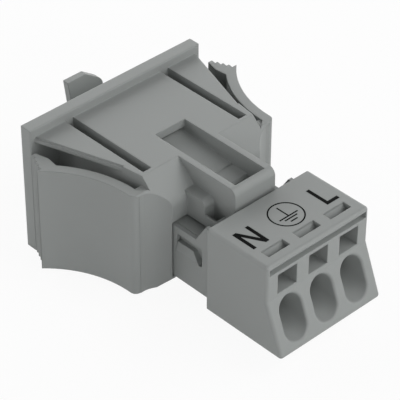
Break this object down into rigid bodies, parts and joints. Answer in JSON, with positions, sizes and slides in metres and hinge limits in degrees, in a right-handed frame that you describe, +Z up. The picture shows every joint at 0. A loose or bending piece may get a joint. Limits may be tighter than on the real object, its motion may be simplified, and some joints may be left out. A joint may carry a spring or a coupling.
{
  "type": "male installation connector",
  "caption": "Grey male installation connector with pins in a socket, a flange with toothed snap wings for a panel, and a terminal block with wire funnels and cage clamps.",
  "frame": {"origin": "centre of the flange face that bears on the panel", "axes": "+Y out of the mating socket, -Y towards the wire entries, +X across the poles from N to L, +Z up towards the side with the channel and the printed poles"},
  "size_m": [0.0286, 0.0385, 0.0158],
  "materials": {
    "grey_plastic": "fine matte moulded",
    "tinned_contact": "tin plated",
    "spring_steel": "bright rolled"
  },
  "bodies": {
    "root": {"snap_in_frame": "grey_plastic", "pin_carrier": "grey_plastic", "terminal_housing": "grey_plastic", "contact_n": "tinned_contact", "contact_pe": "tinned_contact", "contact_l": "tinned_contact", "clamp_spring_n": "spring_steel", "clamp_spring_pe": "spring_steel", "clamp_spring_l": "spring_steel"}
  },
  "joints": []
}
